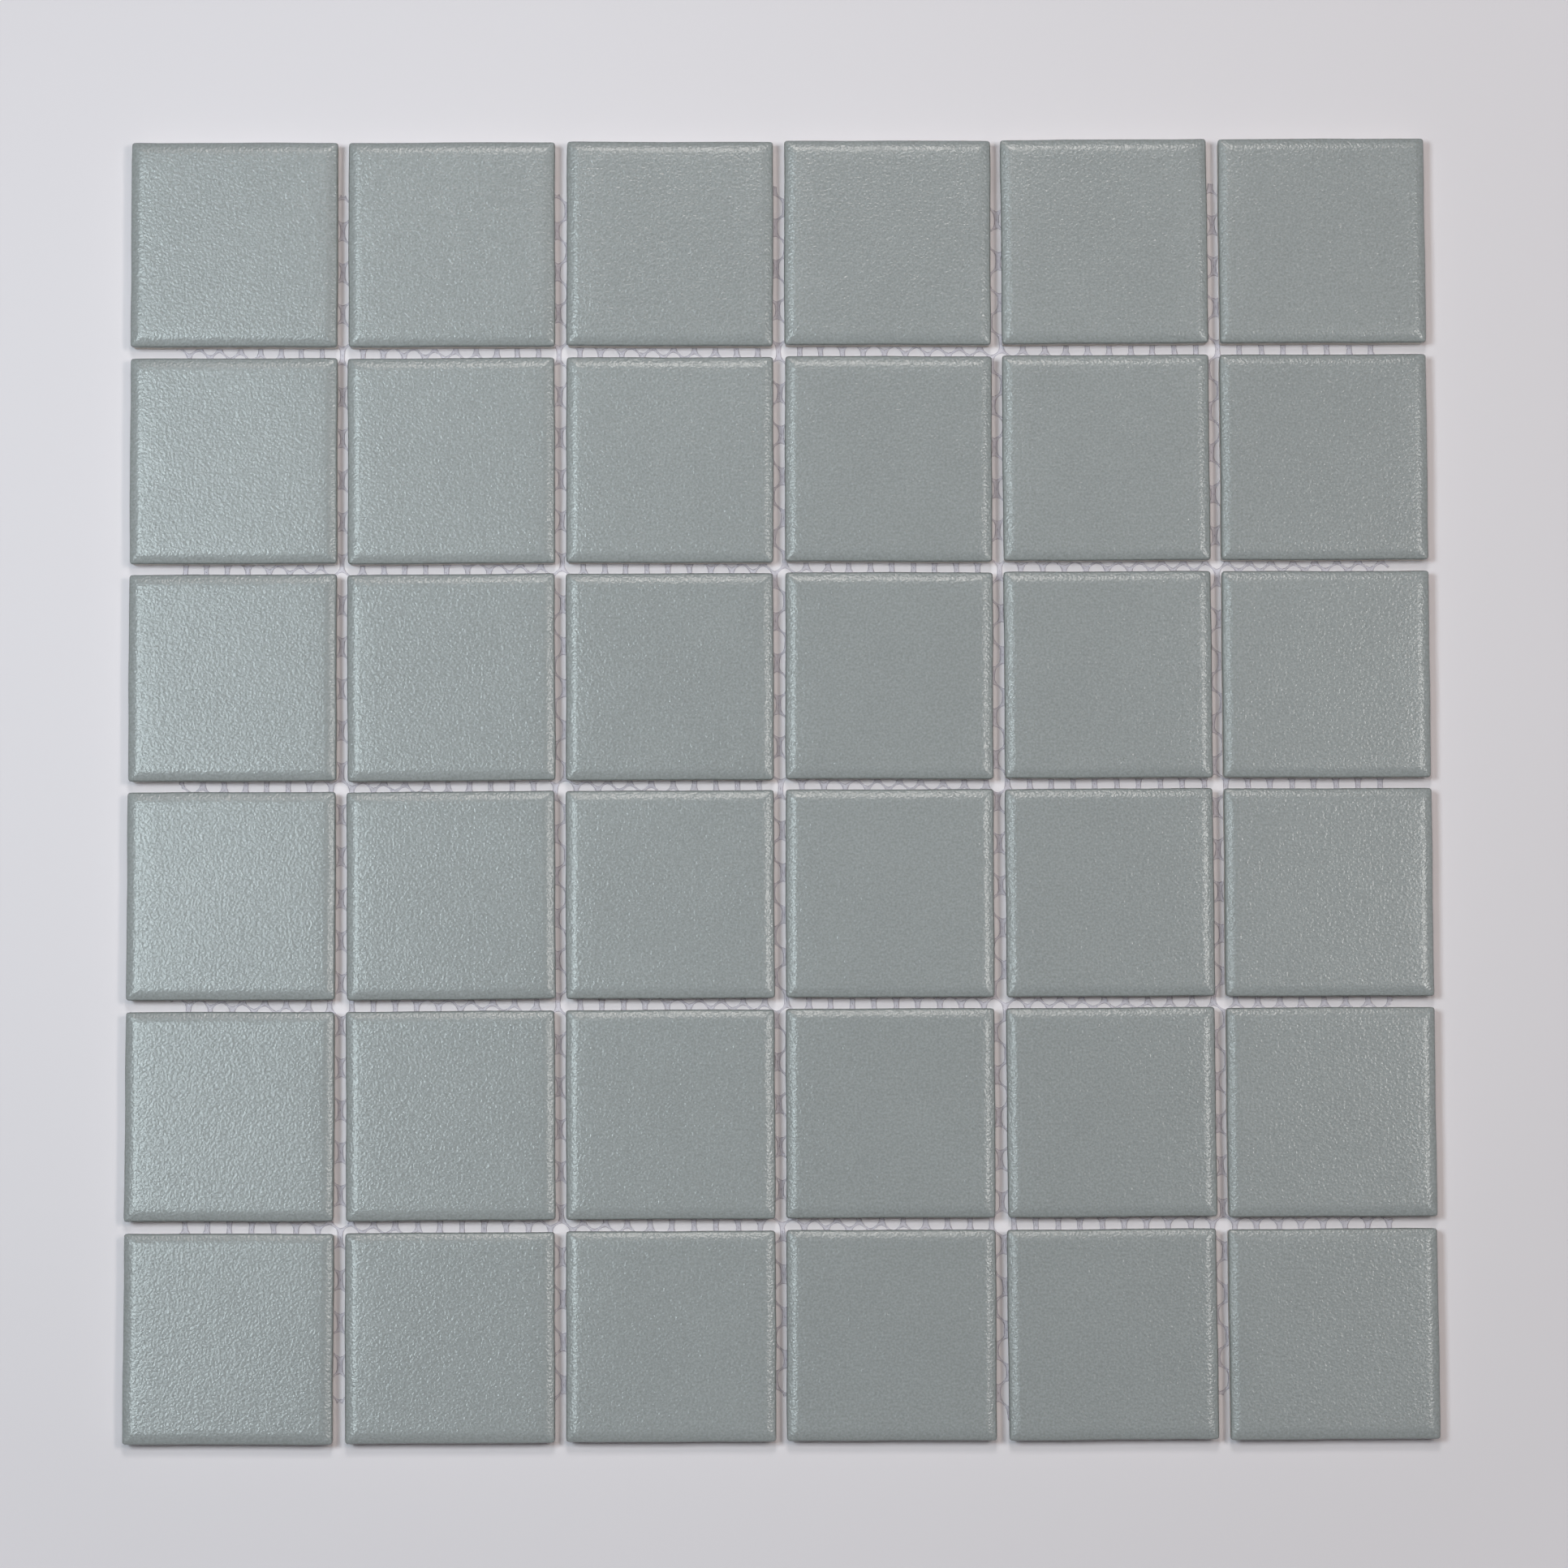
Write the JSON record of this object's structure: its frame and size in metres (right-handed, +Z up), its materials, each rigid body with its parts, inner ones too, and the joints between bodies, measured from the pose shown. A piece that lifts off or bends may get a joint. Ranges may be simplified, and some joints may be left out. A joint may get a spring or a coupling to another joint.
{
  "type": "mosaic tile sheet",
  "caption": "Square sheet of small glazed porcelain tiles with bevelled edges and open joints, face up on an open knitted backing net, for bedding on a wall or floor.",
  "frame": {"origin": "centre of the sheet's outline, on the underside of the backing net", "axes": "+Z up out of the tile faces, +Y towards the sheet's top row, +X towards its right column"},
  "size_m": [0.301, 0.3009, 0.0064],
  "materials": {
    "glazed_porcelain": "matt glaze with a fine grain, blue-green grey",
    "net": "translucent lilac-grey knitted polymer strands"
  },
  "bodies": {
    "root": {"tile_r1_c1": "glazed_porcelain", "tile_r1_c2": "glazed_porcelain", "tile_r1_c3": "glazed_porcelain", "tile_r1_c4": "glazed_porcelain", "tile_r1_c5": "glazed_porcelain", "tile_r1_c6": "glazed_porcelain", "tile_r2_c1": "glazed_porcelain", "tile_r2_c2": "glazed_porcelain", "tile_r2_c3": "glazed_porcelain", "tile_r2_c4": "glazed_porcelain", "tile_r2_c5": "glazed_porcelain", "tile_r2_c6": "glazed_porcelain", "tile_r3_c1": "glazed_porcelain", "tile_r3_c2": "glazed_porcelain", "tile_r3_c3": "glazed_porcelain", "tile_r3_c4": "glazed_porcelain", "tile_r3_c5": "glazed_porcelain", "tile_r3_c6": "glazed_porcelain", "tile_r4_c1": "glazed_porcelain", "tile_r4_c2": "glazed_porcelain", "tile_r4_c3": "glazed_porcelain", "tile_r4_c4": "glazed_porcelain", "tile_r4_c5": "glazed_porcelain", "tile_r4_c6": "glazed_porcelain", "tile_r5_c1": "glazed_porcelain", "tile_r5_c2": "glazed_porcelain", "tile_r5_c3": "glazed_porcelain", "tile_r5_c4": "glazed_porcelain", "tile_r5_c5": "glazed_porcelain", "tile_r5_c6": "glazed_porcelain", "tile_r6_c1": "glazed_porcelain", "tile_r6_c2": "glazed_porcelain", "tile_r6_c3": "glazed_porcelain", "tile_r6_c4": "glazed_porcelain", "tile_r6_c5": "glazed_porcelain", "tile_r6_c6": "glazed_porcelain", "backing_net_r1_c1": "net", "backing_net_r1_c2": "net", "backing_net_r1_c3": "net", "backing_net_r1_c4": "net", "backing_net_r2_c1": "net", "backing_net_r2_c2": "net", "backing_net_r2_c3": "net", "backing_net_r2_c4": "net", "backing_net_r3_c1": "net", "backing_net_r3_c2": "net", "backing_net_r3_c3": "net", "backing_net_r3_c4": "net", "backing_net_r4_c1": "net", "backing_net_r4_c2": "net", "backing_net_r4_c3": "net", "backing_net_r4_c4": "net"}
  },
  "joints": []
}
